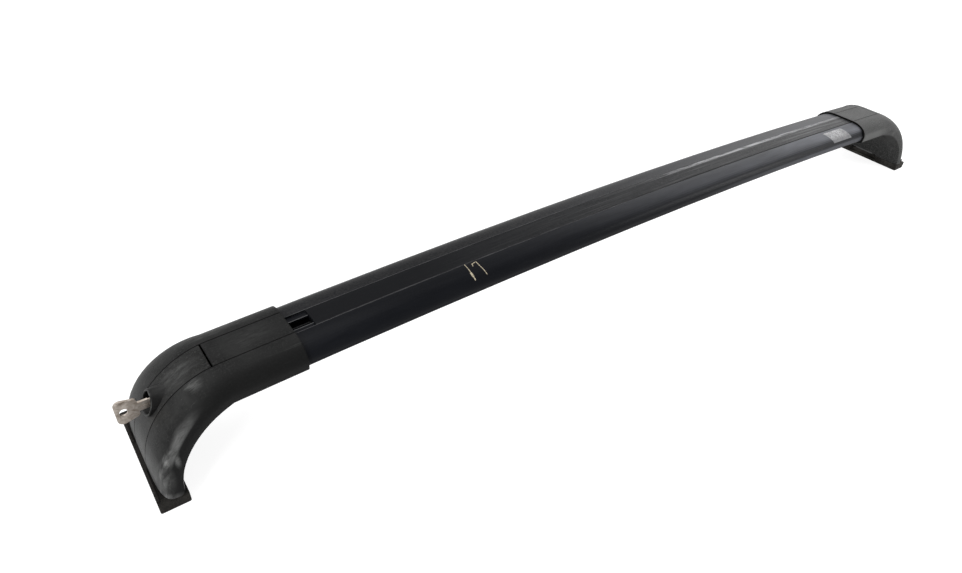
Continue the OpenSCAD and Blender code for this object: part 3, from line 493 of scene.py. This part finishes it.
def outer(edge):
    """Whether an edge lies on the foot's outside: one of its faces turns away from ELBOW_X, BASE_Z."""
    centre = (edge.verts[0].co + edge.verts[1].co) / 2
    across = math.copysign(max(abs(centre.x) - ELBOW_X, 0), centre.x)
    away = Vector((across, 0, max(centre.z - BASE_Z, 0.001))).normalized()
    return max(f.normal.dot(away) for f in edge.link_faces) > 0.5


def at_mouth(v):
    return abs(abs(v.x) - MOUTH_X) < 2e-5


def at_window(v):
    return abs(abs(v.y) - WINDOW_HALF) < 3e-5


def at_panel_side(v):
    return abs(abs(v.y) - PANEL_HALF) < 3e-5


def above_bar(v):
    return v.z > top_z(v.x) - 0.0005


def from_lock(v):
    """A corner's distance from the lock's axis, seen from the foot's end."""
    return math.hypot(v.y, v.z - LOCK_Z)


def along_lock(v):
    """How far out a corner lies along the leaning lock."""
    return abs(v.x) + (v.z - LOCK_Z) * LOCK_LEAN


def dressed(node, width, wanted=lambda e: True):
    """A node's own form with its picked edges rounded."""
    bm = node_form(node)
    round_edges(bm, wanted, width, 2)
    add_piece(node + "_shaped", bm, BODY_OF[node], SLOTS[node], [node])


# ---------------------------------------------------------------- pieces
for node, thing in frame["nodes"].items():
    smooth(thing.data)
    thing.data.materials.clear()
    thing.data.materials.append(MATERIALS[SLOTS[node]])

for side in SIDES:
    # Housing: rounded along its parting lines and round the sleeve's mouth
    bm = node_form(side + "_housing", 0.1)
    round_edges(bm, lambda e: both(e, at_mouth) or (both(e, at_window) and outer(e)), HOUSING_ROUND, 3)
    add_piece(side + "_housing_shaped", bm, "bar_and_feet", "foot_plastic", [side + "_housing"])

    dressed(side + "_top_panel", TRIM_ROUND, lambda e: both(e, above_bar) or outer(e))

    # Lock cover: a full round on the boss's rim, small ones on the plate's edges
    bm = node_form(side + "_lock_cover")
    rim_face = max(along_lock(v.co) for v in bm.verts
                   if RIM_EDGE[0] < from_lock(v.co) < RIM_EDGE[1] and abs(v.co.x) > BOSS_X)

    def on_rim(v):
        return RIM_INSIDE < from_lock(v) < RIM_OUTSIDE and abs(along_lock(v) - rim_face) < 3e-5

    round_edges(bm, lambda e: both(e, on_rim), RIM_ROUND, 4)
    round_edges(bm, lambda e: both(e, at_panel_side) and outer(e), TRIM_ROUND, 2)
    add_piece(side + "_lock_cover_shaped", bm, side + "_cover", "cover_plastic", [side + "_lock_cover"])

    dressed(side + "_base_pad", TRIM_ROUND)
    dressed(side + "_lock_plug", PLUG_ROUND)
dressed("left_key", TRIM_ROUND)

FOIL_COLUMNS, FOIL_LIFT, FOIL_THICKNESS = 12, 0.00012, 0.00008


def foil_sheet(name, from_x, to_x, skew, from_turn, to_turn, rows_across):
    """A blank patch round the bar's front edge, between two turns in degrees; its ends lean."""
    bm = bmesh.new()
    depth = BAR_HALF - WINDOW_HALF
    rows = []
    for i in range(rows_across + 1):
        turn = math.radians(from_turn + (to_turn - from_turn) * i / rows_across)
        out = Vector((0, -math.sin(turn) / depth, math.cos(turn) / -NOSE_Z)).normalized()
        y = -WINDOW_HALF - depth * math.sin(turn)
        z = NOSE_Z - NOSE_Z * math.cos(turn)
        row = []
        for j in range(FOIL_COLUMNS + 1):
            x = from_x + (to_x - from_x) * j / FOIL_COLUMNS + skew * i / rows_across
            row.append(bm.verts.new(Vector((x, y, top_z(x) + z)) + out * FOIL_LIFT))
        rows.append(row)
    for a, b in zip(rows, rows[1:]):
        for j in range(FOIL_COLUMNS):
            bm.faces.new((a[j], b[j], b[j + 1], a[j + 1]))
    bmesh.ops.recalc_face_normals(bm, faces=bm.faces)
    bmesh.ops.solidify(bm, geom=bm.faces[:], thickness=FOIL_THICKNESS)
    add_piece(name, bm, "bar_and_feet", "foil")


foil_sheet("foil_patch", 0.3500, 0.3955, 0.0085, 7.5, 66, 12)

# ---------------------------------------------------------------- floor, world and lamps
FLOOR_SIZE, FLOOR_GAP = 30.0, 0.0002


def seen_rays(n):
    """1 for the rays that show the background: from the camera, a gloss or glass."""
    rays = n.add("ShaderNodeLightPath").outputs
    return n.most(rays["Is Camera Ray"], rays["Is Glossy Ray"], rays["Is Transmission Ray"])


floor_nodes = Nodes("floor_white")
matt = floor_nodes.add("ShaderNodeBsdfDiffuse", {"Color": (0.3, 0.3, 0.3, 1)})
shine = floor_nodes.add("ShaderNodeEmission", {"Color": (1, 1, 1, 1), "Strength": 0.87})
bright = floor_nodes.add("ShaderNodeAddShader", {0: matt.outputs[0], 1: shine.outputs[0]})
pale = floor_nodes.add("ShaderNodeBsdfDiffuse", {"Color": (0.75, 0.75, 0.75, 1)})
shown = floor_nodes.add("ShaderNodeMixShader", {
    0: seen_rays(floor_nodes), 1: pale.outputs[0], 2: bright.outputs[0]})
floor_nodes.add("ShaderNodeOutputMaterial", {0: shown.outputs[0]})
bm = bmesh.new()
bmesh.ops.create_grid(bm, x_segments=1, y_segments=1, size=FLOOR_SIZE)
mesh = bpy.data.meshes.new("floor")
bm.to_mesh(mesh)
bm.free()
floor = bpy.data.objects.new("floor", mesh)
scene.collection.objects.link(floor)
mesh.materials.append(floor_nodes.data)
floor.location.z = cad_box[0][2] - FLOOR_GAP

sky = Nodes("studio", world=True)
dim = sky.add("ShaderNodeBackground", {"Color": (1, 1, 1, 1), "Strength": 0.5})
white = sky.add("ShaderNodeBackground", {"Color": (1, 1, 1, 1), "Strength": 1.0})
shown = sky.add("ShaderNodeMixShader", {0: seen_rays(sky), 1: dim.outputs[0], 2: white.outputs[0]})
sky.add("ShaderNodeOutputWorld", {0: shown.outputs[0]})
scene.world = sky.data


def lamp(name, place, target, size, watts):
    """A round area lamp at a place, turned to its target."""
    data = bpy.data.lights.new(name, "AREA")
    data.shape = "DISK"
    data.size = size
    data.energy = watts
    thing = bpy.data.objects.new(name, data)
    scene.collection.objects.link(thing)
    thing.location = place
    thing.rotation_euler = (Vector(target) - Vector(place)).to_track_quat("-Z", "Y").to_euler()


lamp("key_lamp", (-0.7, 0.5, 2.4), (-0.1, 0, 0.05), 2.4, 46)
lamp("end_lamp", (1.50, 0.26, 0.80), (0.45, 0, 0.05), 1.5, 11)
lamp("left_lamp", (-1.49, -0.68, 0.42), (-0.55, -0.04, 0.06), 0.36, 15)
lamp("front_lamp", (0.92, -0.60, 0.34), (0.53, -0.03, 0.07), 0.35, 4.6)
